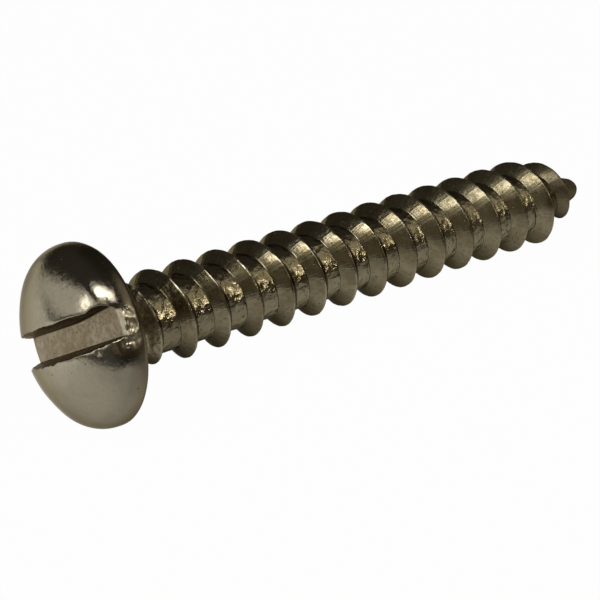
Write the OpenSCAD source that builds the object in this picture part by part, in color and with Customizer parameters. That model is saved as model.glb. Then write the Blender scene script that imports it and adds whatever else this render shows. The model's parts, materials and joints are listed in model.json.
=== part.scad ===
// Self-tapping screw: slotted round head, coarse thread right up to the head, gimlet point.
// The screw is drawn upright about its own axis, point down, with the bearing face at z = 0.
// It is then laid on its side, so that the head's edge and one crest near the point touch z = 0.

/* [Head] */
// Diameter of the head at its widest
head_d = 10.3; // [8:0.1:13]
// Height of the head above its bearing face
head_h = 3.5; // [2.9:0.1:5]
// Radius of the round edge between the bearing face and the widest place
edge_r = 0.45; // [0.2:0.05:0.9]
// Height of the straight band at the widest place
band_h = 0.15; // [0.05:0.05:0.4]
// Radius of the shoulder between the band and the crown
shoulder_r = 1.8; // [0.8:0.1:2.2]

/* [Slot] */
// Width of the slot at its floor
slot_w = 1.45; // [1:0.05:2]
// How far each wall of the slot leans out for each millimetre of height
slot_draft = 0.12; // [0:0.02:0.3]
// Depth of the slot below the top of the crown
slot_depth = 2.35; // [1:0.05:2.5]
// Angle of the slot about the screw's axis, from straight up
slot_angle = 125; // [0:5:180]

/* [Shank] */
// Length from the bearing face to the tip
screw_l = 37; // [20:0.25:60]
// Diameter of the core between the turns of the thread
core_d = 4.05; // [3.4:0.05:4.6]
// Radius of the fillet between the bearing face and the core
fillet_r = 0.85; // [0.75:0.05:1.1]
// Length of the core's cone at the point
point_l = 5; // [3:0.1:8]
// Diameter of the blunt end of the point
tip_d = 1; // [0.2:0.05:1.2]

/* [Thread] */
// Diameter over the crests of the thread
thread_d = 5.4; // [4.8:0.1:5.6]
// Distance from one turn to the next
pitch = 2.29; // [1.8:0.01:3]
// Width of the flat on top of the ridge
crest_w = 0.1; // [0.06:0.02:0.3]
// Angle of each flank from square to the axis
flank_angle = 44; // [25:1:48]
// Distance from the bearing face to the ridge's first pass along the underside
first_pass = 0.77; // [0.1:0.01:3]
// Distance from the bearing face to where the ridge starts to rise from the core
ridge_start = 0.4; // [0.2:0.1:2]
// Turns over which the ridge rises from the core to its full height
rise_turns = 0.75; // [0.25:0.05:1]
// Length at the point over which the crests taper down to the tip
crest_taper_l = 4.1; // [3:0.1:8]

/* [Hidden] */
$fn = 96;

// Steps around one turn of the thread
turn_steps = 36;
// Small length by which solids run into each other
overlap = 0.05;

// Height by which the shoulder stands past the crown where they meet, so that they cross cleanly
shoulder_lap = 0.005;
// Depth by which the thread's core starts inside the head
ring_sunk = 0.4;
// Length of plain point past the end of the ridge
point_gap = 0.5;

head_r = head_d / 2;
core_r = core_d / 2;
crest_r = thread_d / 2;
tip_r = tip_d / 2;
band_top = edge_r + band_h;
// Height of the crown above the shoulder's centre, at which the crown still meets the shoulder
crown_h = max(head_h - band_top, shoulder_r + overlap);
shoulder_x = head_r - shoulder_r;
// Radius of the crown that all but touches the shoulder and reaches the head's full height
touch_r = shoulder_r - shoulder_lap;
crown_r = (pow(shoulder_x, 2) + pow(crown_h, 2) - pow(touch_r, 2)) / (2 * (crown_h - touch_r));
crown_y = band_top + crown_h - crown_r;
head_top = band_top + crown_h;
slot_floor = head_top - slot_depth;
neck_r = core_r + overlap + fillet_r;

// Radius of the core at a distance from the bearing face
function core_at(s) =
    s < screw_l - point_l ? core_r
    : tip_r + (core_r - tip_r) * max(screw_l - s, 0) / point_l;

// Radius that the crests reach at a distance from the bearing face
function crest_at(s) =
    tip_r + (crest_r - tip_r) * min(max(screw_l - s, 0) / crest_taper_l, 1);

// Distance from the bearing face to the middle of the ridge at a step along its helix.
// Step 0 is the first pass along the underside.
function helix_s(step) = first_pass + pitch * step / turn_steps;

// Height of the ridge above the core at a step
function ridge_h(step) =
    let (s = helix_s(step))
    max(crest_at(s) - core_at(s), 0) * min(max((s - ridge_start) / (rise_turns * pitch), 0), 1);

// Half of the ridge's width at the core
function ridge_half(step) = crest_w / 2 + max(ridge_h(step) * tan(flank_angle), overlap);

// Point at the angle of a step, at a radius and a distance from the bearing face
function thread_point(step, r, s) =
    let (angle = 180 - 360 * step / turn_steps)
    [r * cos(angle), r * sin(angle), -s];

// Point on the core at a step, a length off along the axis
function core_point(step, off) =
    let (s = helix_s(step) + off)
    thread_point(step, core_at(s), s);

// Point on the ridge's top at a step, a length off along the axis
function top_point(step, off) =
    let (s = helix_s(step))
    thread_point(step, core_at(s) + ridge_h(step), s + off);

// The four corners of the ridge's section at a step, from the head's side to the point's side
function section(step) = [
    core_point(step, -ridge_half(step)),
    top_point(step, -crest_w / 2),
    top_point(step, crest_w / 2),
    core_point(step, ridge_half(step))
];

// Tilt at which the head's edge and a crest pass at s both touch the floor
function tilt_for(s) =
    let (
        along = s + crest_w / 2 + edge_r,
        across = head_r - edge_r - crest_at(s)
    )
    atan2(across, along) + asin(edge_r / norm([along, across]));

// Every pass of the ridge along the underside
passes = [for (s = [first_pass : pitch : screw_l - overlap]) s];
rest_tilt = min([for (s = passes) if (s > screw_l / 2) tilt_for(s)]);
// Height of the axis above the floor, where it leaves the bearing face
axis_h = edge_r + (head_r - edge_r) * cos(rest_tilt) - edge_r * sin(rest_tilt);

// How far the head reaches back from the bearing face, up to the slot's edge if that is farthest out
slot_mouth = slot_w / 2 + slot_draft * slot_depth;
off_slot = sin(rest_tilt) * sin(slot_angle);
head_reach = crown_y * cos(rest_tilt) + (
    crown_r * abs(off_slot) > slot_mouth ? crown_r
    : slot_mouth * abs(off_slot) + sqrt((1 - pow(off_slot, 2)) * (pow(crown_r, 2) - pow(slot_mouth, 2)))
);
// Where the axis leaves the bearing face, so that the part is centred over the origin
face_x = (head_reach - screw_l * cos(rest_tilt)) / 2;

// First and last step of the thread, the first of them inside the head
first_step = ceil(turn_steps * (ridge_half(0) - ring_sunk / 2 - first_pass) / pitch);
last_step = floor(turn_steps * (screw_l - point_gap - first_pass) / pitch);

// Half of the head's outline, with the axis at x = 0
module head_outline() {
    // The crown and the shoulder meet on a line from the shoulder's centre
    reach = 2 * crown_r;
    lean = atan2(shoulder_x, band_top - crown_y);
    meeting = [shoulder_x + reach * sin(lean), band_top + reach * cos(lean)];
    intersection() {
        translate([0, crown_y]) circle(r = crown_r);
        polygon([[0, 0], [shoulder_x, 0], [shoulder_x, band_top], meeting, [0, band_top + reach]]);
    }
    intersection() {
        translate([shoulder_x, band_top]) circle(r = shoulder_r);
        polygon([[shoulder_x, band_top], [shoulder_x + reach, band_top], meeting]);
    }
    translate([shoulder_x, edge_r]) square([shoulder_r, band_h]);
    translate([shoulder_x, 0]) square([shoulder_r - edge_r, edge_r]);
    intersection() {
        translate([head_r - edge_r, edge_r]) circle(r = edge_r);
        translate([head_r - edge_r, 0]) square(edge_r);
    }
}

// The fillet under the head, which ends a little outside the core
module neck_outline() {
    difference() {
        translate([0, -fillet_r]) square([neck_r, fillet_r + overlap]);
        translate([neck_r, -fillet_r]) circle(r = fillet_r);
    }
}

// Core and thread as one closed skin of strips that run along the helix
module threaded_core() {
    n = turn_steps;
    corners = len(section(0));
    sections = [for (i = [first_step : last_step]) each section(i)];
    ring = [for (k = [0 : n - 1]) thread_point(first_step + k, core_r, -ring_sunk)];
    steps = last_step - first_step;
    ring_0 = len(sections);
    tip = ring_0 + n;
    points = concat(sections, ring, [[0, 0, -screw_l]]);
    ridge = [
        for (i = [0 : steps - 1])
            for (j = [0 : corners - 2])
                let (a = corners * i + j, b = a + corners)
                each [[b, a, a + 1], [b, a + 1, b + 1]]
    ];
    root = [
        for (i = [0 : steps - n - 1])
            let (a = corners * i + corners - 1, b = a + corners, c = corners * (i + n), d = c + corners)
            each [[b, a, c], [b, c, d]]
    ];
    // The ring inside the head, and the skin from it to the first turn
    collar = [
        for (k = [0 : n - 2])
            let (a = corners * k, b = a + corners)
            each [[ring_0 + k + 1, ring_0 + k, a], [ring_0 + k + 1, a, b]]
    ];
    hub = corners * (n - 1);
    seam = [
        [hub, corners * n, corners - 1],
        for (j = [corners - 1 : -1 : 1]) [hub, j, j - 1],
        [hub, 0, ring_0],
        [hub, ring_0, ring_0 + n - 1]
    ];
    // The point, from the last turn to the tip
    last = corners * steps;
    turn_end = corners * (steps - n) + corners - 1;
    cone = [
        for (k = [1 : n - 1])
            [turn_end + corners * (k + 1), turn_end + corners * k, tip]
    ];
    far = turn_end + corners;
    tip_seam = [
        [far, turn_end, last],
        for (j = [0 : corners - 2]) [far, last + j, last + j + 1],
        [far, last + corners - 1, tip]
    ];
    polyhedron(
        points = points,
        faces = concat([[for (k = [0 : n - 1]) ring_0 + k]], collar, seam, ridge, root, cone, tip_seam)
    );
}

// Prism with leaning walls that cuts the slot
module slot_cutter() {
    rise = head_h;
    lean = slot_draft * rise;
    translate([-head_d, 0, slot_floor])
        rotate([90, 0, 90])
            linear_extrude(height = 2 * head_d)
                polygon([
                    [-slot_w / 2, 0],
                    [slot_w / 2, 0],
                    [slot_w / 2 + lean, rise],
                    [-slot_w / 2 - lean, rise]
                ]);
}

module screw() {
    color([0.55, 0.52, 0.46])
        translate([face_x, 0, axis_h])
            rotate([0, rest_tilt - 90, 0])
                union() {
                    difference() {
                        rotate_extrude() head_outline();
                        rotate([0, 0, slot_angle]) slot_cutter();
                    }
                    rotate_extrude() neck_outline();
                    threaded_core();
                }
}

screw();
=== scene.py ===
import json
import math

import bmesh
import bpy
import numpy as np
from mathutils import Euler, Matrix, Vector, noise


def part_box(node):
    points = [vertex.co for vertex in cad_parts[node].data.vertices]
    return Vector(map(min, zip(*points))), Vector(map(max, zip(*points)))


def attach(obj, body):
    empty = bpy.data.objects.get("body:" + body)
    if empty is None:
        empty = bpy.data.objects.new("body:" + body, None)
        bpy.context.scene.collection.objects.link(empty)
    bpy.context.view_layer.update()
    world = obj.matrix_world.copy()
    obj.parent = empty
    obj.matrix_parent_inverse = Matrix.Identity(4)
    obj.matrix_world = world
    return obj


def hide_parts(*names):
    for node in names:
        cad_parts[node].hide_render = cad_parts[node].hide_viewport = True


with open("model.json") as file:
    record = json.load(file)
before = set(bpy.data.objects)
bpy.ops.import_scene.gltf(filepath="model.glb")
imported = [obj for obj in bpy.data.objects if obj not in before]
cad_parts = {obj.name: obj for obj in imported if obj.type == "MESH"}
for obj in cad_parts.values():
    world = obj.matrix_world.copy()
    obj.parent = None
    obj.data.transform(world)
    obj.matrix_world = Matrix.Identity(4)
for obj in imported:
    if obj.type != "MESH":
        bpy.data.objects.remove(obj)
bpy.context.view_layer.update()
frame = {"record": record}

MM = 0.001

# Where the screw lies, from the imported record
mounts = {m["name"]: m for m in frame["record"]["mounts"]}
to_tip = Vector(mounts["thread"]["axis"]).normalized()
tip = Vector(mounts["thread"]["pos_m"])
length = (tip - Vector(mounts["bearing_face"]["pos_m"])).dot(to_tip)
face_centre = tip - length * to_tip
slot_floor = (face_centre - Vector(mounts["driver_slot"]["pos_m"])).dot(to_tip)
low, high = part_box("screw")

# Head, in millimetres. Its own axes: x up, y to the back, z from the bearing face to the crown.
SCREW_L = length / MM
HEAD_R = (high.y - low.y) / 2 / MM
HEAD_H = 3.5
EDGE_R = 0.45
BAND_H = 0.15
SHOULDER_R = 1.8
BAND_TOP = EDGE_R + BAND_H
SHOULDER_X = HEAD_R - SHOULDER_R
CROWN_H = HEAD_H - BAND_TOP
CROWN_R = (SHOULDER_X ** 2 + CROWN_H ** 2 - SHOULDER_R ** 2) / (2 * (CROWN_H - SHOULDER_R))
CROWN_Y = HEAD_H - CROWN_R
# Radius at which the crown turns into the shoulder
TOUCH_X = SHOULDER_X * CROWN_R / (CROWN_R - SHOULDER_R)

# Slot, in millimetres: u runs along it to the back, v across it towards the lower half
FLOOR_H = slot_floor / MM
RIM_R = SHOULDER_X + math.sqrt(SHOULDER_R ** 2 - (FLOOR_H - BAND_TOP) ** 2)
SLOT_ANGLE = math.radians(123.5)
SLOT_SHIFT = -0.11
SLOT_HALF = 0.725
SLOT_DRAFT = 0.12
UPPER, LOWER = -1, 1
LIP_R = {UPPER: 0.07, LOWER: 0.13}
CORNER_R = {UPPER: 0.12, LOWER: 0.08}
# Lip and corner take at most these shares of the wall's height
LIP_SHARE = 0.4
CORNER_SHARE = 0.3
# The upper corner is fuller at the back end
BACK_CORNER_R = 0.25
END_ROUND = 0.24
# The walls lean out at least this much, and their wear fades where they are lower than this
WALL_LEAN = 0.02
WEAR_FADE_H = 0.7
# The upper wall flares towards the front end, and its top is torn back in steps: depth, start and end
FRONT_END = -5
FLARE = 0.28
TEAR_STEPS = [(0.1, -1.5, -2.2), (0.17, -3.6, -4.1)]
# Burr and dent on the lower lip: place along and across the slot, and spread
BURR = (0.5, 0.86, 0.012)
BURR_H = 0.07
DENT = (-3.8, 0.98, 0.03)
DENT_DEPTH = 0.06
# The torn metal at the front end is sunk this much on the whole
TORN_DEPTH = 0.04

# The head is fuller than a true turning, most of all above the slot's front end
FULLNESS = 0.06
FRONT_FULLNESS = 0.21
FRONT_FULLNESS_Y = -2
FRONT_FULLNESS_W = 2.2
# It swells away from a point this far under the bearing face
SWELL_FROM = 1.5

# Shank, in millimetres
CORE_R = 2.025
CREST_R = 2.7
PITCH = 2.29
FIRST_PASS = 0.77
RIDGE_START = 0.4
RISE_TURNS = 0.75
# Half the ridge's angle, and the flanks' swelling, at distances from the bearing face
FLANK_AT = [8.9, 11]
FLANK_ANGLE = [39.5, 43.5]
FLANK_SWELL = [0, 0.17]
CREST_W = 0.07
CREST_ROUND = 0.03
ROOT_FILLET = 0.03
# A ridge lower than this counts as none
LEAST_RIDGE = 0.02
NECK_FILLET = 0.85
NECK_BLEND = 0.1
NECK_R = CORE_R + NECK_FILLET
POINT_L = 5.0
TIP_R = 0.5
TIP_ROUND = 0.7
TIP_GAP = 0.12
CREST_TAPER_L = 4.1
# The thread's first low pass is rubbed down
WORN_PASS = FIRST_PASS + PITCH
WORN_REACH = 0.45
WORN_DEPTH = 0.45
# The last crest is cut down: how deep, how far from the tip, and how far it reaches each way
TIP_CUT = 0.35
TIP_CUT_AT = 0.6
TIP_CUT_REACH = 0.9
# The shank is slightly bent: how far its axis is off, at distances from the bearing face
BEND_AT = [0, 1.5, 6, 11, 16, 22, 33, 37]
BEND_BY = [-0.03, -0.105, -0.105, -0.07, -0.02, 0.03, 0.04, 0]
# The crests stand out a little further towards the point
SWELL_AT = [15, 20, 33, 36]
SWELL_BY = [0, 0.05, 0.05, 0]
# A seam is folded along the crest where the ridge is high enough
FOLD_DEPTH = 0.02
FOLD_AT = 0.02
FOLD_W = 0.02
FOLD_RIDGE = 0.3

# Marks in the metal: depth in millimetres, waves to a millimetre, and a seed
ROLL_WAVES = (0.012, 1.2, 1)
ROOT_BEATING = (0.012, 2.4, 2)
CREST_WAVES = (0.02, 1.7, 4)
CREST_NICKS = (0.014, 4.5, 5)
LIP_WAVES = (0.06, 1.1, 3)
LIP_NICKS = (0.035, 3.7, 4)
HEAD_WAVES = (0.007, 0.75, 7)
HEAD_RIPPLES = (0.0015, 2.6, 8)
TORN_WAVES = (0.1, 2.8, 9)
TORN_NICKS = (0.025, 6.5, 10)
# The same for the share by which the lip's rounding varies, and for where the seam comes and goes
LIP_VARIES = (0.8, 1.9, 6)
SEAM_VARIES = (1, 0.6, 3)

# Fineness of the skin
TURN_STATIONS = 124
HALF_PROFILE = [0, 0.02, 0.045, 0.08, 0.13, 0.21, 0.31, 0.42, 0.5, 0.55,
                0.58, 0.61, 0.64, 0.67, 0.7, 0.74, 0.82, 0.93, 1.06]
SLOT_COLUMNS = 150
DOME_ROWS = 32
FLOOR_ROWS = 8
WALL_ROWS = 7
CORNER_TURNS = np.radians([90, 60, 30, 0])
LIP_TURNS = np.radians([90, 67, 45, 22, 0])
SHOULDER_RINGS = 9
EDGE_RINGS = 9
WELD = 1e-5
SHARP_FROM = math.radians(40)

HEAD, SLOT, THREAD = 0, 1, 2


def smooth_max(a, b, k):
    """The larger of two values, rounded over where they are within k of each other."""
    return np.maximum(a, b) + np.maximum(k - np.abs(a - b), 0) ** 2 / (4 * k)


def ease(value, start, end):
    """Goes smoothly from 0 at start to 1 at end."""
    t = np.clip((value - start) / (end - start), 0, 1)
    return t * t * (3 - 2 * t)


def ripple(points, scale, seed):
    """Soft noise from -1 to 1 at each point, with features about 1 / scale apart."""
    shift = Vector((17.3 * seed, -9.1 * seed, 4.7 * seed))
    flat = [noise.noise(Vector(p) * scale + shift) for p in points.reshape(-1, 3)]
    return np.array(flat).reshape(points.shape[:-1])


def marking(points, mark):
    """The rise or fall of a mark in the metal, at each point."""
    depth, scale, seed = mark
    return depth * ripple(points, scale, seed)


def spot(u, v, place):
    """1 at a place on the head's top, and 0 away from it."""
    at_u, at_v, spread = place
    return np.exp(-((u - at_u) ** 2 + (v - at_v) ** 2) / spread)


class Skin:
    """Collects grids of points and faces into one closed mesh."""

    def __init__(self):
        self.points = []
        self.marks = {"root": [], "crest": [], "worn": []}
        self.wraps = []
        self.faces = []
        self.kinds = []
        self.count = 0

    def add_points(self, points, wrap=0.0, **marks):
        """Adds points with their marks and returns their numbers, in the same layout."""
        shape = points.shape[:-1]
        self.points.append(points.reshape(-1, 3))
        self.wraps.append(np.broadcast_to(wrap, shape + (3,)).reshape(-1, 3))
        for mark, values in self.marks.items():
            values.append(np.broadcast_to(marks.get(mark, 0.0), shape).ravel())
        numbers = np.arange(self.count, self.count + len(self.points[-1])).reshape(shape)
        self.count += len(self.points[-1])
        return numbers

    def add_grid(self, numbers, kind):
        """Adds a quad for each cell of a grid of point numbers."""
        quads = np.stack([numbers[:-1, :-1], numbers[:-1, 1:], numbers[1:, 1:], numbers[1:, :-1]], -1)
        self.add_faces(quads.reshape(-1, 4).tolist(), kind)

    def add_faces(self, faces, kind):
        self.faces += faces
        self.kinds += [kind] * len(faces)

    def build(self, name):
        """Welds points that coincide, drops faces that vanish and makes the mesh."""
        points = np.concatenate(self.points)
        keys = np.round(points / WELD).astype(np.int64)
        _, first, merged = np.unique(keys, axis=0, return_index=True, return_inverse=True)
        merged = merged.ravel()
        faces = []
        kinds = []
        for face, kind in zip(self.faces, self.kinds):
            ring = []
            for number in (int(merged[n]) for n in face):
                if number not in ring:
                    ring.append(number)
            if len(ring) > 2:
                faces.append(ring)
                kinds.append(kind)
        used = np.unique(np.concatenate([np.array(f) for f in faces]))
        renumber = np.zeros(len(first), int)
        renumber[used] = np.arange(len(used))
        first = first[used]
        mesh = bpy.data.meshes.new(name)
        mesh.from_pydata(points[first].tolist(), [], [renumber[f].tolist() for f in faces])
        mesh.polygons.foreach_set("material_index", kinds)
        for mark, values in self.marks.items():
            layer = mesh.attributes.new(mark, "FLOAT", "POINT")
            layer.data.foreach_set("value", np.concatenate(values)[first].astype(np.float32))
        for label, values in (("wrap", np.concatenate(self.wraps)), ("place", points)):
            layer = mesh.attributes.new(label, "FLOAT_VECTOR", "POINT")
            layer.data.foreach_set("vector", values[first].astype(np.float32).ravel())
        return mesh


# Shank and thread

def core_at(s):
    """Radius of the core at a distance from the bearing face, with a rounded tip."""
    left = np.maximum(SCREW_L - TIP_GAP - s, 0)
    cone = TIP_R + (CORE_R - TIP_R) * np.minimum(left / POINT_L, 1)
    blunt = 1 - np.clip(1 - left / TIP_ROUND, 0, 1) ** 2
    return cone * np.sqrt(np.clip(blunt, 0, 1))


def ridge_height(s):
    """Height of the thread's ridge above the core, where its crest is at s."""
    left = SCREW_L - s
    taper = np.clip(left / CREST_TAPER_L, 0, 1)
    cut = TIP_CUT * np.clip(1 - np.abs(left - TIP_CUT_AT) / TIP_CUT_REACH, 0, 1)
    crest = TIP_R + (CREST_R - TIP_R) * taper - cut
    rise = np.clip((s - RIDGE_START) / (RISE_TURNS * PITCH), 0, 1)
    worn = 1 - WORN_DEPTH * np.exp(-((s - WORN_PASS) / WORN_REACH) ** 2)
    swell = np.interp(s, SWELL_AT, SWELL_BY)
    return np.maximum(crest + swell - core_at(s), 0) * rise * worn * ease(left, 0.2, 0.6)


def add_thread(skin):
    """The core with its ridge, as rows that run along the helix; returns the ring at the bearing face."""
    offsets = np.array([-x for x in HALF_PROFILE[:0:-1]] + HALF_PROFILE)
    turns = np.arange(-2, math.ceil(SCREW_L / PITCH) + 2)
    offset = np.tile(offsets, len(turns))[:, None]
    turn = np.repeat(turns, len(offsets))[:, None]
    station = np.arange(TURN_STATIONS)[None, :]
    pass_at = FIRST_PASS + PITCH * (turn + station / TURN_STATIONS)
    s = np.clip(pass_at + offset, 0, SCREW_L)
    angle = np.broadcast_to(math.pi - 2 * math.pi * station / TURN_STATIONS, s.shape)
    unit = np.stack([np.cos(angle), np.sin(angle)], -1)
    place = np.concatenate([unit * CORE_R, -s[..., None]], -1)

    height = ridge_height(pass_at)
    across = np.broadcast_to(np.abs(offset), s.shape)
    half_angle = np.radians(np.interp(pass_at, FLANK_AT, FLANK_ANGLE))
    width = np.maximum(height, LEAST_RIDGE) * np.tan(half_angle)
    down = (across - CREST_W / 2) / width
    swell = np.interp(pass_at, FLANK_AT, FLANK_SWELL)
    down = np.where(down < 1, down * (1 - swell * (1 - down)), 1 + (down - 1) * (1 + swell))
    drop = smooth_max(height * down, 0, CREST_ROUND)
    ridge = np.where(height > LEAST_RIDGE, smooth_max(height - drop, 0, ROOT_FILLET), 0)
    hollow = ease(ridge, 0.014, 0.001)
    crest = ease(across, 0.1, 0.03) * ease(height, 0.05, 0.2)
    radius = core_at(s) + ridge

    # Marks left by the rolling, away from both ends: waves, beaten roots, a seam and ragged crests
    inner = ease(s, 0.5, 1.2) * ease(SCREW_L - s, 0.3, 1)
    waves = marking(place, ROLL_WAVES)
    beaten = hollow * marking(place, ROOT_BEATING)
    seam = -FOLD_DEPTH * np.exp(-((offset - FOLD_AT) / FOLD_W) ** 2)
    fold = np.where(height > FOLD_RIDGE, seam * ease(marking(place, SEAM_VARIES), -0.2, 0.3), 0)
    ragged = crest * (marking(place, CREST_WAVES) + marking(place, CREST_NICKS))
    radius = radius + inner * (waves + beaten + fold + ragged)

    # The neck under the head, and the ends of the shank
    neck = NECK_R - np.sqrt(np.clip(NECK_FILLET ** 2 - (NECK_FILLET - s) ** 2, 0, None))
    radius = np.where(s < NECK_FILLET, smooth_max(radius, neck, NECK_BLEND), radius)
    radius = np.where(s <= 0, NECK_R, np.where(s >= SCREW_L, 0, radius))
    points = np.concatenate([unit * radius[..., None], -s[..., None]], -1)
    points[..., 0] += np.interp(s, BEND_AT, BEND_BY) * ease(s, 0, 0.6)
    wrap = np.stack([angle * CORE_R, s, radius], -1)
    numbers = skin.add_points(points, wrap, root=hollow, crest=crest)
    wrapped = np.concatenate([numbers[:-len(offsets)], numbers[len(offsets):, :1]], 1)
    skin.add_grid(wrapped, THREAD)
    return numbers[0], angle[0]


# Head and slot

def crown(r):
    """Height of the head's top above the bearing face, at a radius."""
    dome = CROWN_Y + np.sqrt(np.maximum(CROWN_R ** 2 - r ** 2, 0))
    reach = np.clip(r - SHOULDER_X, 0, SHOULDER_R)
    shoulder = BAND_TOP + np.sqrt(SHOULDER_R ** 2 - reach ** 2)
    return np.where(r < TOUCH_X, dome, shoulder)


def half_slot(t, side):
    """Rows of points from the middle of the slot's floor, up one wall and over the dome to the rim.

    t goes from -1 to 1 along the slot. Each row is its places along and across the slot, its height
    and the surface that it belongs to."""
    wall = side * SLOT_HALF + SLOT_SHIFT
    end = math.sqrt(RIM_R ** 2 - wall ** 2)
    u = end * t
    top = np.abs(wall) + SLOT_DRAFT * (HEAD_H - FLOOR_H)
    rise = np.clip(crown(np.hypot(u, top)) - FLOOR_H, 0, None)
    fade = np.clip(rise / WEAR_FADE_H, 0, 1)
    path = np.stack([u, np.full_like(u, 3.0 * side), np.zeros_like(u)], -1)
    ragged = fade * (marking(path, LIP_WAVES) + marking(path, LIP_NICKS))
    worn_wall = (side == UPPER) * fade
    foot = SLOT_HALF + worn_wall * FLARE * ease(u, 0, FRONT_END)
    torn = worn_wall * sum(depth * ease(u, start, finish) for depth, start, finish in TEAR_STEPS)
    wall_top = np.maximum(SLOT_HALF + SLOT_DRAFT * rise + ragged + torn, foot + WALL_LEAN * fade)
    lip = np.minimum(LIP_R[side] * (1 + marking(path, LIP_VARIES)), LIP_SHARE * rise)
    fuller = BACK_CORNER_R * ease(t, 0.8, 1) * (side == UPPER)
    corner = np.minimum(CORNER_R[side] + fuller, CORNER_SHARE * rise)
    edge = wall_top + lip
    edge_h = np.maximum(crown(np.hypot(u, side * edge + SLOT_SHIFT)), FLOOR_H)
    limit = np.sqrt(np.maximum(RIM_R ** 2 - u ** 2, wall ** 2)) - side * SLOT_SHIFT
    rows = []

    def add(across, height, surface):
        rows.append((u, side * across + SLOT_SHIFT, np.broadcast_to(height, u.shape), surface))

    for k in range(FLOOR_ROWS):
        across = (foot - corner) * k / FLOOR_ROWS
        v = side * across + SLOT_SHIFT
        rows.append((t * np.sqrt(RIM_R ** 2 - v ** 2), v, np.full_like(u, FLOOR_H), "floor"))
    for turn in CORNER_TURNS:
        across = foot - corner * (1 - np.cos(turn))
        v = side * across + SLOT_SHIFT
        height = FLOOR_H + corner * (1 - np.sin(turn))
        rows.append((t * np.sqrt(RIM_R ** 2 - v ** 2), v, height, "wall"))
    base = FLOOR_H + corner
    for k in range(1, WALL_ROWS):
        add(foot + (wall_top - foot) * k / WALL_ROWS, base + (edge_h - lip - base) * k / WALL_ROWS, "wall")
    for turn in LIP_TURNS:
        add(wall_top + lip * (1 - np.sin(turn)), edge_h - lip * (1 - np.cos(turn)), "lip")
    for k in range(1, DOME_ROWS + 1):
        across = edge + (limit - edge) * math.sin(math.pi / 2 * k / DOME_ROWS)
        height = np.maximum(crown(np.hypot(u, side * across + SLOT_SHIFT)), FLOOR_H)
        add(across, height, "dome")
    return rows


def along_slot(points):
    """Places along and across the slot."""
    cos_a, sin_a = math.cos(SLOT_ANGLE), math.sin(SLOT_ANGLE)
    x, y = points[..., 0], points[..., 1]
    return x * cos_a + y * sin_a, y * cos_a - x * sin_a


def chewed(points):
    """1 at the front end of the slot, which a slipping driver has torn, and 0 away from it."""
    u, v = along_slot(points)
    z = points[..., 2]
    return ease(u, -4.5, -4.8) * ease(np.abs(v - 0.2), 1.3, 0.9) * ease(z, 0.4, 0.7) * ease(z, 1.8, 1.4)


def battered(points):
    """Moves points of the head for its dents and burrs, by their place alone, so that seams stay closed."""
    u, v = along_slot(points)
    x, y, z = points[..., 0], points[..., 1], points[..., 2]
    outward = points + np.array([0, 0, SWELL_FROM])
    outward = outward / np.linalg.norm(outward, axis=-1, keepdims=True)
    swell = marking(points, HEAD_WAVES) + marking(points, HEAD_RIPPLES)
    # Fuller all round but where it lies on the floor
    swell = swell + FULLNESS * ease(x, -4.6, -3.2)
    above_front = FRONT_FULLNESS * np.exp(-((y - FRONT_FULLNESS_Y) / FRONT_FULLNESS_W) ** 2)
    swell = swell + above_front * ease(x, 1.5, 4) * ease(z, 4.2, 0.2)
    torn = marking(points, TORN_WAVES) + marking(points, TORN_NICKS) - TORN_DEPTH
    swell = swell + chewed(points) * torn
    dent = spot(u, v, DENT) * ease(z, 1.6, 2)
    swell = swell + BURR_H * spot(u, v, BURR) - DENT_DEPTH * dent
    # The bearing face stays flat
    keep = ease(z, 0, 0.15)
    return points + outward * (swell * keep)[..., None]


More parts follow.
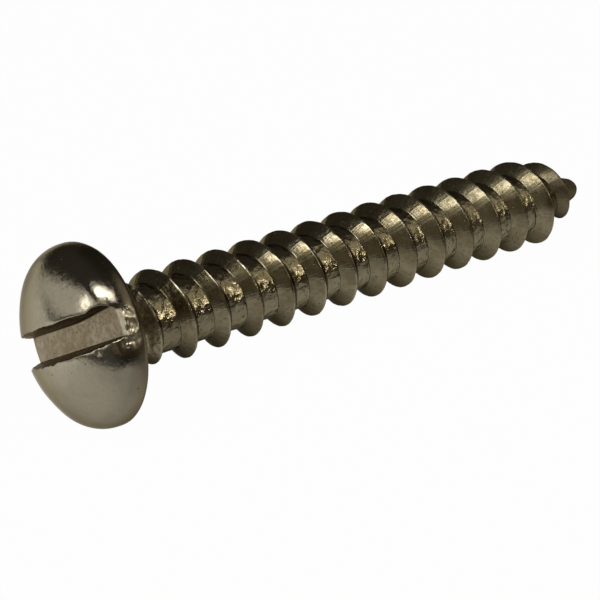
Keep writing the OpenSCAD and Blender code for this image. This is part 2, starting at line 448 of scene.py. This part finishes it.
def add_head(skin):
    """The head with its slot, down to the bearing face; returns the lowest ring and its angles."""
    t = np.sin(np.linspace(-math.pi / 2, math.pi / 2, SLOT_COLUMNS))
    upper = half_slot(t, UPPER)
    lower = half_slot(t, LOWER)
    rows = upper[:0:-1] + lower
    cos_a, sin_a = math.cos(SLOT_ANGLE), math.sin(SLOT_ANGLE)
    grid = np.array([np.stack([u * cos_a - v * sin_a, u * sin_a + v * cos_a, h], -1)
                     for u, v, h, _ in rows])
    surfaces = [row[3] for row in rows]

    # The ends of the floor are rounded over, and the head's side starts lower there
    reach = RIM_R - np.hypot(grid[..., 0], grid[..., 1])
    in_slot = np.array([s in ("floor", "wall") for s in surfaces])[:, None]
    low_part = ease(grid[..., 2] - FLOOR_H, 0.12, 0.0)
    rounding = np.clip(1 - reach / END_ROUND, 0, 1) ** 2 * END_ROUND * 0.5
    grid[..., 2] -= np.where(in_slot, rounding * low_part, 0)

    rim = np.concatenate([grid[-1][::-1], grid[::-1, 0], grid[0], grid[:, -1]])
    angle = np.arctan2(rim[:, 1], rim[:, 0])
    start = np.arcsin(np.clip((rim[:, 2] - BAND_TOP) / SHOULDER_R, 0, 1))
    rings = [rim]

    def add_ring(r, h):
        rings.append(np.stack([r * np.cos(angle), r * np.sin(angle), np.broadcast_to(h, angle.shape)], -1))

    for k in range(1, SHOULDER_RINGS + 1):
        down = start * (1 - k / SHOULDER_RINGS)
        add_ring(SHOULDER_X + SHOULDER_R * np.cos(down), BAND_TOP + SHOULDER_R * np.sin(down))
    for turn in np.linspace(0, math.pi / 2, EDGE_RINGS + 1):
        add_ring(HEAD_R - EDGE_R * (1 - math.cos(turn)), EDGE_R * (1 - math.sin(turn)))

    numbers = skin.add_points(battered(grid), worn=chewed(grid))
    for k in range(len(rows) - 1):
        on_dome = "dome" in surfaces[k:k + 2] or surfaces[k:k + 2] == ["lip", "lip"]
        skin.add_grid(numbers[k:k + 2], HEAD if on_dome else SLOT)
    rings = np.array(rings)
    numbers = skin.add_points(battered(rings), worn=chewed(rings))
    skin.add_grid(np.concatenate([numbers, numbers[:, :1]], 1), HEAD)
    lowest = rings[-1]
    apart = np.linalg.norm(lowest - np.roll(lowest, -1, 0), axis=1) > 2 * WELD
    return numbers[-1][apart], angle[apart]


def join_rings(inner, inner_angle, outer, outer_angle):
    """Triangles between two rings in one plane, with any number of points in each."""
    turn = 2 * math.pi
    a = sorted(zip(np.mod(inner_angle, turn), inner))
    b = sorted(zip(np.mod(outer_angle, turn), outer))
    faces = []
    i = j = 0
    while i < len(a) or j < len(b):
        next_a = a[(i + 1) % len(a)][0] + turn * ((i + 1) // len(a))
        next_b = b[(j + 1) % len(b)][0] + turn * ((j + 1) // len(b))
        here = [int(a[i % len(a)][1]), int(b[j % len(b)][1])]
        if j >= len(b) or (i < len(a) and next_a <= next_b):
            faces.append(here + [int(a[(i + 1) % len(a)][1])])
            i += 1
        else:
            faces.append(here + [int(b[(j + 1) % len(b)][1])])
            j += 1
    return faces


def make_screw():
    """The whole screw as one closed mesh, laid down where the solid lies."""
    skin = Skin()
    neck, neck_angle = add_thread(skin)
    edge, edge_angle = add_head(skin)
    skin.add_faces(join_rings(neck, neck_angle, edge, edge_angle), HEAD)
    mesh = skin.build("screw_skin")
    upward = to_tip.cross(Vector((0, 1, 0)))
    sideways = upward.cross(to_tip)
    lay_down = Matrix.Translation(face_centre) @ Matrix((upward, sideways, -to_tip)).transposed().to_4x4()
    mesh.transform(lay_down @ Matrix.Scale(MM, 4))
    bm = bmesh.new()
    bm.from_mesh(mesh)
    bmesh.ops.recalc_face_normals(bm, faces=bm.faces)
    bm.to_mesh(mesh)
    bm.free()
    mesh.shade_smooth()
    mesh.set_sharp_from_angle(angle=SHARP_FROM)
    return mesh


# Finishes

def put(tree, kind, settings=None, **feeds):
    """Adds a node, and fills its settings and its sockets with values or links."""
    made = tree.nodes.new("ShaderNode" + kind)
    for name, value in (settings or {}).items():
        setattr(made, name, value)
    for name, value in feeds.items():
        socket = made.inputs[int(name[1:])] if name[1:].isdigit() else made.inputs[name.replace("_", " ")]
        if isinstance(value, bpy.types.NodeSocket):
            tree.links.new(value, socket)
        else:
            socket.default_value = value
    return made


def math_of(tree, operation, a, b=0.0):
    return put(tree, "Math", {"operation": operation}, i0=a, i1=b).outputs[0]


def multiply_add(tree, value, factor, added):
    return put(tree, "Math", {"operation": "MULTIPLY_ADD"}, i0=value, i1=factor, i2=added).outputs[0]


def product_of(tree, *factors):
    result = factors[0]
    for factor in factors[1:]:
        result = math_of(tree, "MULTIPLY", result, factor)
    return result


def reach_of(tree, vector, direction):
    """How far a vector reaches along a direction."""
    return put(tree, "VectorMath", {"operation": "DOT_PRODUCT"}, i0=vector, i1=direction).outputs["Value"]


def cloud_of(tree, place, scale, detail, rough):
    """Soft noise drawn at a place."""
    return put(tree, "TexNoise", None, Vector=place, Scale=scale, Detail=detail, Roughness=rough).outputs[0]


def mask_of(tree, mark):
    """One of the skin's marks, from 0 to 1."""
    return put(tree, "Attribute", {"attribute_name": mark}).outputs["Fac"]


def ramp_of(tree, value, start, end, low_out=0.0, high_out=1.0):
    """Maps a value smoothly from one range to another."""
    made = put(tree, "MapRange", {"interpolation_type": "SMOOTHSTEP"}, Value=value,
               From_Min=start, From_Max=end, To_Min=low_out, To_Max=high_out)
    return made.outputs[0]


def blend_of(tree, amount, a, b):
    """Mixes two colours, each a socket or a plain colour."""
    made = put(tree, "Mix", {"data_type": "RGBA"})
    for socket, value in ((made.inputs[0], amount), (made.inputs[6], a), (made.inputs[7], b)):
        if isinstance(value, bpy.types.NodeSocket):
            tree.links.new(value, socket)
        else:
            socket.default_value = (*value, 1) if isinstance(value, tuple) else value
    return made.outputs[2]


def tinted(tree, colour, mask, share, tint):
    """Lays a tint over a colour where a mask is, at most with the share given."""
    return blend_of(tree, math_of(tree, "MULTIPLY", mask, share), colour, tint)


def effect(name, inputs, outputs):
    """An empty node group with named sockets; returns it with its inner ends."""
    group = bpy.data.node_groups.new(name, "ShaderNodeTree")
    for socket, default in inputs.items():
        kind = "NodeSocketVector" if default is None else "NodeSocketFloat"
        made = group.interface.new_socket(name=socket, in_out="INPUT", socket_type=kind)
        if default is not None:
            made.default_value = default
    for socket in outputs:
        group.interface.new_socket(name=socket, in_out="OUTPUT", socket_type="NodeSocketFloat")
    return group, group.nodes.new("NodeGroupInput").outputs, group.nodes.new("NodeGroupOutput").inputs


def cloudy_stain():
    """Soft cloudy patches, as stains gather on plating."""
    tree, given, result = effect("cloudy stain", {"Place": None, "Scale": 1.0, "Spread": 0.5}, ["Mask"])
    cloud = cloud_of(tree, given["Place"], given["Scale"], 5.0, 0.62)
    edge = math_of(tree, "SUBTRACT", 1.0, given["Spread"])
    above = math_of(tree, "SUBTRACT", cloud, edge)
    tree.links.new(ramp_of(tree, above, -0.12, 0.14), result["Mask"])
    return tree


def fine_pits():
    """Small round pits, thinly scattered."""
    inputs = {"Place": None, "Scale": 3.0, "Share": 0.3}
    tree, given, result = effect("fine pits", inputs, ["Mask", "Depth"])
    cell = put(tree, "TexVoronoi", None, Vector=given["Place"], Scale=given["Scale"])
    chance = put(tree, "SeparateColor", None, Color=cell.outputs["Color"])
    there = math_of(tree, "LESS_THAN", chance.outputs[0], given["Share"])
    size = multiply_add(tree, chance.outputs[1], 0.16, 0.06)
    near = math_of(tree, "DIVIDE", cell.outputs["Distance"], size)
    hole = math_of(tree, "MULTIPLY", ramp_of(tree, near, 1.0, 0.4), there)
    tree.links.new(hole, result["Mask"])
    tree.links.new(math_of(tree, "MULTIPLY", hole, -1.0), result["Depth"])
    return tree


def drawn_lines():
    """Fine lines along the first direction of the place given, as dies and drivers leave."""
    inputs = {"Place": None, "Scale": 4.0, "Stretch": 12.0}
    tree, given, result = effect("drawn lines", inputs, ["Height"])
    x, y, z = put(tree, "SeparateXYZ", None, Vector=given["Place"]).outputs
    along = math_of(tree, "DIVIDE", x, given["Stretch"])
    squeezed = put(tree, "CombineXYZ", None, X=along, Y=y, Z=z).outputs[0]
    tree.links.new(cloud_of(tree, squeezed, given["Scale"], 4.0, 0.7), result["Height"])
    return tree


def beaten_relief():
    """Small irregular facets, as on metal squeezed by a die."""
    tree, given, result = effect("beaten relief", {"Place": None, "Scale": 4.0}, ["Height"])
    broad = cloud_of(tree, given["Place"], given["Scale"], 2.0, 0.5)
    scale = math_of(tree, "MULTIPLY", given["Scale"], 0.8)
    facet = put(tree, "TexVoronoi", {"feature": "SMOOTH_F1"}, Vector=given["Place"], Scale=scale,
                Smoothness=0.35).outputs["Distance"]
    tree.links.new(math_of(tree, "ADD", broad, facet), result["Height"])
    return tree


STAIN = cloudy_stain()
PITS = fine_pits()
LINES = drawn_lines()
BEATEN = beaten_relief()


def use(tree, group, place, **values):
    """Adds one of the shared effects, drawn at a place; returns what it gives."""
    made = tree.nodes.new("ShaderNodeGroup")
    made.node_tree = group
    tree.links.new(place, made.inputs["Place"])
    for name, value in values.items():
        made.inputs[name].default_value = value
    return made.outputs


def metal(name):
    """A bare metal material; returns it with its tree, shader and the two places to draw from."""
    mat = bpy.data.materials.new(name)
    mat.use_nodes = True
    tree = mat.node_tree
    shader = tree.nodes["Principled BSDF"]
    shader.inputs["Metallic"].default_value = 1
    shader.inputs["Specular Tint"].default_value = (0.5, 0.47, 0.4, 1)
    place = put(tree, "Attribute", {"attribute_name": "place"}).outputs["Vector"]
    wrap = put(tree, "Attribute", {"attribute_name": "wrap"}).outputs["Vector"]
    return mat, tree, shader, place, wrap


def bumps(tree, shader, layers):
    """Adds relief to a shader: each layer is a height and the real height of its 1, in millimetres."""
    normal = None
    for height, reach in layers:
        made = put(tree, "Bump", None, Height=height, Distance=reach * MM)
        if normal is not None:
            tree.links.new(normal, made.inputs["Normal"])
        normal = made.outputs[0]
    tree.links.new(normal, shader.inputs["Normal"])


# Colours of the plating, its stains, the bare metal and a painted dark reflection on the rim
HEAD_PLATING = (0.337, 0.312, 0.25)
HEAD_STAIN = (0.292, 0.268, 0.213)
HEAD_BLOOM = (0.3, 0.28, 0.234)
SKIRT_BROWN = (0.24, 0.19, 0.12)
# Painted dark reflection on the rim above the slot's front end
RIM_PAINTED_DARK = (0.13, 0.11, 0.085)
HEAD_PIT = (0.1, 0.08, 0.05)
TORN_STEEL = (0.6, 0.55, 0.44)
SLOT_BROWN = (0.28, 0.242, 0.176)
SLOT_GREY = (0.36, 0.325, 0.265)
SLOT_BLOOM = (0.25, 0.205, 0.135)
SLOT_WALL = (0.24, 0.192, 0.13)
SLOT_PIT = (0.1, 0.075, 0.045)
THREAD_PLATING = (0.31, 0.28, 0.193)
THREAD_STAIN = (0.25, 0.214, 0.136)
THREAD_BLOOM = (0.2, 0.158, 0.09)
ROOT_PALE = (0.36, 0.325, 0.235)
RUBBED_CREST = (0.5, 0.46, 0.37)
POINT_BROWN = (0.14, 0.115, 0.075)
FIRST_TURN_PALE = (0.4, 0.35, 0.26)
THREAD_PIT = (0.07, 0.05, 0.03)


def plated_head():
    """Thin plating with stains, browner low down on the head's side, and a painted dark reflection on the
    rim above the slot's front end.
    """
    mat, tree, shader, place, _ = metal("plated head")
    stain = use(tree, STAIN, place, Scale=0.8, Spread=0.42)["Mask"]
    bloom = use(tree, STAIN, place, Scale=4.5, Spread=0.5)["Mask"]
    pits = use(tree, PITS, place, Scale=2.6, Share=0.22)
    lines = use(tree, LINES, place, Scale=5.0, Stretch=5.0)
    mottle = use(tree, BEATEN, place, Scale=3.0)
    worn = mask_of(tree, "worn")
    height = put(tree, "SeparateXYZ", None, Vector=place).outputs[2]
    skirt = ramp_of(tree, height, 1.5, 0.4)
    # Painted dark reflection on the rim above the slot's front end
    upper_front = ramp_of(tree, reach_of(tree, place, (0.87, -0.5, 0)), 4.2, 4.7)
    rim_painted_dark = math_of(tree, "MULTIPLY", upper_front, ramp_of(tree, height, 1.7, 1.0))

    colour = blend_of(tree, stain, HEAD_PLATING, HEAD_STAIN)
    colour = tinted(tree, colour, bloom, 0.5, HEAD_BLOOM)
    colour = tinted(tree, colour, skirt, 0.6, SKIRT_BROWN)
    colour = tinted(tree, colour, pits["Mask"], 0.6, HEAD_PIT)
    # Painted dark reflection laid over the rim
    colour = tinted(tree, colour, rim_painted_dark, 0.75, RIM_PAINTED_DARK)
    colour = blend_of(tree, worn, colour, TORN_STEEL)
    tree.links.new(colour, shader.inputs["Base Color"])

    rough = multiply_add(tree, bloom, 0.05, 0.09)
    rough = multiply_add(tree, skirt, 0.2, rough)
    rough = multiply_add(tree, worn, 0.1, rough)
    tree.links.new(rough, shader.inputs["Roughness"])
    bumps(tree, shader, [(lines["Height"], 0.006), (bloom, 0.002), (mottle["Height"], 0.005),
                         (pits["Depth"], 0.02)])
    return mat


def cut_slot():
    """Dull metal of the slot, with darker walls."""
    mat, tree, shader, place, _ = metal("cut slot")
    stain = use(tree, STAIN, place, Scale=0.7, Spread=0.5)["Mask"]
    bloom = use(tree, STAIN, place, Scale=3.5, Spread=0.5)["Mask"]
    pits = use(tree, PITS, place, Scale=3.0, Share=0.3)
    lines = use(tree, LINES, place, Scale=7.0, Stretch=3.0)
    height = put(tree, "SeparateXYZ", None, Vector=place).outputs[2]
    wall = ramp_of(tree, height, FLOOR_H + 0.02, FLOOR_H + 0.12)

    colour = blend_of(tree, stain, SLOT_BROWN, SLOT_GREY)
    colour = tinted(tree, colour, bloom, 0.35, SLOT_BLOOM)
    colour = blend_of(tree, wall, colour, SLOT_WALL)
    colour = tinted(tree, colour, pits["Mask"], 0.6, SLOT_PIT)
    colour = blend_of(tree, mask_of(tree, "worn"), colour, TORN_STEEL)
    tree.links.new(colour, shader.inputs["Base Color"])
    tree.links.new(ramp_of(tree, bloom, 0, 1, 0.34, 0.46), shader.inputs["Roughness"])
    bumps(tree, shader, [(lines["Height"], 0.005), (bloom, 0.008), (pits["Depth"], 0.02)])
    return mat


def rolled_thread():
    """Plating that is pale and beaten in the roots, rubbed on the crests and brown at the point."""
    mat, tree, shader, place, wrap = metal("rolled thread")
    root = mask_of(tree, "root")
    crest = mask_of(tree, "crest")
    around, along, radius = put(tree, "SeparateXYZ", None, Vector=wrap).outputs
    first = ramp_of(tree, along, 2.9, 2.1)
    far = ramp_of(tree, along, 15, 27)
    point = ramp_of(tree, along, SCREW_L - 4.5, SCREW_L - 3)
    stain = use(tree, STAIN, place, Scale=0.9, Spread=0.5)["Mask"]
    bloom = use(tree, STAIN, place, Scale=4.0, Spread=0.46)["Mask"]
    pits = use(tree, PITS, place, Scale=3.6, Share=0.5)
    beaten = use(tree, BEATEN, place, Scale=3.0)
    # Lines round the shank, streaks that run outwards, and wrinkles across the roots
    lines = use(tree, LINES, wrap, Scale=5.0, Stretch=14.0)
    outward = put(tree, "CombineXYZ", None, X=radius, Y=around, Z=0.0).outputs[0]
    streaks = use(tree, LINES, outward, Scale=2.2, Stretch=6.0)
    sideways = put(tree, "CombineXYZ", None, X=along, Y=around, Z=0.0).outputs[0]
    wrinkles = use(tree, LINES, sideways, Scale=3.4, Stretch=2.2)

    colour = blend_of(tree, stain, THREAD_PLATING, THREAD_STAIN)
    colour = tinted(tree, colour, bloom, 0.45, THREAD_BLOOM)
    colour = tinted(tree, colour, root, 0.5, ROOT_PALE)
    unstained = ramp_of(tree, stain, 0, 1, 0.75, 0.15)
    rubbed = product_of(tree, crest, unstained, ramp_of(tree, far, 0, 1, 1, 0.4))
    colour = blend_of(tree, rubbed, colour, RUBBED_CREST)
    colour = tinted(tree, colour, point, 0.55, POINT_BROWN)
    colour = tinted(tree, colour, first, 0.6, FIRST_TURN_PALE)
    colour = tinted(tree, colour, pits["Mask"], 0.75, THREAD_PIT)
    tree.links.new(colour, shader.inputs["Base Color"])

    rough = multiply_add(tree, far, 0.1, ramp_of(tree, bloom, 0, 1, 0.11, 0.22))
    rough = math_of(tree, "ADD", rough, ramp_of(tree, root, 1, 0, 0, 0.05))
    rough = multiply_add(tree, first, 0.12, rough)
    rough = multiply_add(tree, point, 0.15, rough)
    tree.links.new(rough, shader.inputs["Roughness"])

    dented = math_of(tree, "MAXIMUM", ramp_of(tree, root, 0, 1, 0.08, 1.0), first)
    relief = math_of(tree, "MULTIPLY", beaten["Height"], dented)
    combed = math_of(tree, "MULTIPLY", streaks["Height"], ramp_of(tree, root, 0, 1, 1.0, 0))
    wrinkled = math_of(tree, "MULTIPLY", wrinkles["Height"], root)
    bumps(tree, shader, [(lines["Height"], 0.01), (combed, 0.03), (relief, 0.045), (wrinkled, 0.035),
                         (pits["Depth"], 0.03)])
    return mat


mesh = make_screw()
for material in (plated_head(), cut_slot(), rolled_thread()):
    mesh.materials.append(material)
screw = bpy.data.objects.new("screw_skin", mesh)
bpy.context.scene.collection.objects.link(screw)
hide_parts("screw")
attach(screw, "root")

# Camera
camera = bpy.data.cameras.new("camera")
camera.lens = 126.512
camera.sensor_width = 36
camera.shift_x = -0.010525
camera.shift_y = 0.037197
camera.clip_start = 0.005
camera_stand = bpy.data.objects.new("camera", camera)
camera_stand.location = Vector((-69.680, -83.794, 63.240)) * MM
camera_stand.rotation_euler = Euler((math.radians(59.7458), 0, math.radians(-38.887)))
bpy.context.scene.collection.objects.link(camera_stand)
bpy.context.scene.camera = camera_stand

# Floor
FLOOR_REACH = 3.0
floor_mesh = bpy.data.meshes.new("floor")
corners = [(-1, -1), (1, -1), (1, 1), (-1, 1)]
floor_mesh.from_pydata([(x * FLOOR_REACH, y * FLOOR_REACH, 0) for x, y in corners], [], [(0, 1, 2, 3)])
floor = bpy.data.objects.new("floor", floor_mesh)
bpy.context.scene.collection.objects.link(floor)


def towards(azimuth, elevation):
    """The direction with an azimuth and an elevation in degrees."""
    a, e = math.radians(azimuth), math.radians(elevation)
    return Vector((math.cos(e) * math.cos(a), math.cos(e) * math.sin(a), math.sin(e)))


def directed(tree, vector, azimuth, elevation):
    """How far a vector reaches along a direction given in degrees."""
    return reach_of(tree, vector, towards(azimuth, elevation))


# Shades on the floor: the azimuth they run along, start and end in metres, and the levels there
FLOOR_SHADES = [
    (-75, 0.018, 0.027, 1.0, 0.1),
    (-150, 0.033, 0.043, 1.0, 0.16),
    (90, 0.04, 0.2, 1.0, 0.7),
    (0, -0.022, -0.016, 1.24, 1.0),
]
# Places on the floor in metres: of the first turns, to the right, and of the shank, to the back
FIRST_TURNS_AT = -0.012
SHANK_AT = 0.0016
FLOOR_GLOW = (1.0, 0.965, 0.88, 1)
# How much the metal sees of the glow and the camera of the white; the rest is plain, with the shadow
GLOW_SHARE = 0.95
WHITE_SHARE = 0.98


def floor_level(tree):
    """How bright the floor looks in the metal, with painted shades: dim in front, on the far left and
    beside the screw.
    """
    place = put(tree, "TexCoord").outputs["Object"]
    back = directed(tree, place, 90, 0)
    right = directed(tree, place, 0, 0)
    level = math_of(tree, "ADD", ramp_of(tree, back, -0.013, 0.001, 0.41, 0.65),
                    ramp_of(tree, back, -0.001, 0.004, 0, 0.2))
    for azimuth, start, end, near, far in FLOOR_SHADES:
        shade = ramp_of(tree, directed(tree, place, azimuth, 0), start, end, near, far)
        level = math_of(tree, "MULTIPLY", level, shade)
    # Painted shade in the floor's glow beside the first turns
    off_turns = math_of(tree, "ABSOLUTE", math_of(tree, "SUBTRACT", right, FIRST_TURNS_AT))
    turns_painted_shade = ramp_of(tree, off_turns, 0.0, 0.012, 0.77, 1.0)
    # Painted shadow under the shank, and painted light in front of the first turns
    past_head = ramp_of(tree, right, -0.019, -0.016)
    off_shank = math_of(tree, "ABSOLUTE", math_of(tree, "SUBTRACT", back, SHANK_AT))
    under = math_of(tree, "MULTIPLY", ramp_of(tree, off_shank, 0.006, 0.001, 0, 0.8), past_head)
    painted_light = product_of(tree, past_head, ramp_of(tree, right, -0.010, -0.013, 0, 0.35),
                         ramp_of(tree, back, -0.004, -0.007))
    return product_of(tree, level, turns_painted_shade, math_of(tree, "SUBTRACT", 1.0, under),
                      math_of(tree, "ADD", 1.0, painted_light))


def pale_floor():
    """White to the camera, but for the shadow, and a glow of its own level to the metal."""
    mat = bpy.data.materials.new("pale floor")
    mat.use_nodes = True
    tree = mat.node_tree
    plain = tree.nodes["Principled BSDF"]
    plain.inputs["Base Color"].default_value = (0.8, 0.8, 0.8, 1)
    plain.inputs["Roughness"].default_value = 0.9
    glow = put(tree, "Emission", None, Color=FLOOR_GLOW, Strength=floor_level(tree))
    white = put(tree, "Emission", None, Color=(1, 1, 1, 1), Strength=1.0)
    rays = put(tree, "LightPath").outputs
    mirrored = math_of(tree, "ADD", rays["Is Glossy Ray"], rays["Is Transmission Ray"])
    inner = put(tree, "MixShader", None, i0=math_of(tree, "MULTIPLY", mirrored, GLOW_SHARE),
                i1=plain.outputs[0], i2=glow.outputs[0])
    outer = put(tree, "MixShader", None, i0=math_of(tree, "MULTIPLY", rays["Is Camera Ray"], WHITE_SHARE),
                i1=inner.outputs[0], i2=white.outputs[0])
    tree.links.new(outer.outputs[0], tree.nodes["Material Output"].inputs["Surface"])
    return mat


floor_mesh.materials.append(pale_floor())


# The room in the metal, and its glows: azimuth and elevation, soft edge and colour
ROOM_COLOUR = (0.055, 0.05, 0.042)
LEFT_GLOW = (-142, 4, 0.9, 0.98, (0.19, 0.158, 0.11))
CEILING_GLOW = (-29, 44, 0.925, 0.985, (0.64, 0.58, 0.45))
UNDER_LONG_WINDOW = (-159, 44, 0.955, 0.994, (0.66, 0.6, 0.45))
ROUND_RIGHT_WINDOW = (-56, 31, 0.967, 0.995, (0.8, 0.67, 0.36))
HORIZON_BROWN = (0.07, 0.045, 0.024)
# The pale wall behind on the left, and the way up from its top edge, which slopes down to the right
WALL_COLOUR = (0.80, 0.77, 0.68)
WALL_EDGE = (0.553, 0.078, 0.83)


def studio():
    """White to the camera; to the metal a dim warm room with glows and a pale wall behind on the left."""
    world = bpy.data.worlds.new("studio")
    world.use_nodes = True
    tree = world.node_tree
    tree.nodes.clear()
    way = put(tree, "TexCoord").outputs["Generated"]

    def lit(colour, glow):
        azimuth, elevation, start, end, tint = glow
        share = ramp_of(tree, directed(tree, way, azimuth, elevation), start, end)
        return blend_of(tree, share, colour, tint)

    colour = lit(ROOM_COLOUR, LEFT_GLOW)
    horizon = math_of(tree, "MULTIPLY", ramp_of(tree, directed(tree, way, 0, 90), 0.4, 0.16),
                      ramp_of(tree, directed(tree, way, -65, 0), 0.3, 0.7))
    colour = blend_of(tree, horizon, colour, HORIZON_BROWN)
    for glow in (CEILING_GLOW, UNDER_LONG_WINDOW, ROUND_RIGHT_WINDOW):
        colour = lit(colour, glow)
    wall = math_of(tree, "MULTIPLY", ramp_of(tree, reach_of(tree, way, WALL_EDGE), -0.055, -0.09),
                   ramp_of(tree, directed(tree, way, 90, 0), -0.3, -0.12))
    colour = blend_of(tree, wall, colour, WALL_COLOUR)
    room = put(tree, "Background", None, Color=colour, Strength=1.0)
    white = put(tree, "Background", None, Color=(1, 1, 1, 1), Strength=1.0)
    seen = put(tree, "MixShader", None, i0=put(tree, "LightPath").outputs["Is Camera Ray"],
               i1=room.outputs[0], i2=white.outputs[0])
    tree.links.new(seen.outputs[0], put(tree, "OutputWorld").inputs["Surface"])
    return world


bpy.context.scene.world = studio()

LAMP_DISTANCE = 0.5
DAYLIGHT = (1, 0.98, 0.92)
WARM_LIGHT = (1, 0.96, 0.82)


def hang(name, facing, angle_x, angle_y, brightness, colour):
    """Hangs an area lamp out along the Z of its facing, as large as the angles seen from the screw."""
    data = bpy.data.lights.new(name, "AREA")
    data.shape = "RECTANGLE"
    data.size = 2 * LAMP_DISTANCE * math.tan(angle_x / 2)
    data.size_y = 2 * LAMP_DISTANCE * math.tan(angle_y / 2)
    data.energy = brightness * math.pi * data.size * data.size_y
    data.color = colour
    lamp = bpy.data.objects.new(name, data)
    lamp.location = facing.col[2] * LAMP_DISTANCE
    lamp.rotation_euler = facing.to_euler()
    bpy.context.scene.collection.objects.link(lamp)


def softbox(name, azimuth, elevation, width, height, brightness, colour):
    """A lamp in a direction; its sizes are in degrees as the screw sees it."""
    facing = towards(azimuth, elevation).to_track_quat("Z", "Y").to_matrix()
    hang(name, facing, math.radians(width), math.radians(height), brightness, colour)


def softbox_between(name, start, end, width, brightness, colour):
    """A long lamp whose two ends are seen from the screw in two directions."""
    a, b = Vector(start).normalized(), Vector(end).normalized()
    middle = (a + b).normalized()
    along = (b - a).normalized()
    facing = Matrix((along, middle.cross(along), middle)).transposed()
    hang(name, facing, a.angle(b), math.radians(width), brightness, colour)


softbox_between("long window", (-0.705, 0.01, 0.705), (-0.05, -0.5, 0.866), 12, 5.7, DAYLIGHT)
softbox("window right", -60, 28.5, 8, 4.5, 20, WARM_LIGHT)
softbox("small window", 168, 18.5, 6.5, 7.5, 6, DAYLIGHT)

bpy.context.scene.view_settings.view_transform = "Standard"
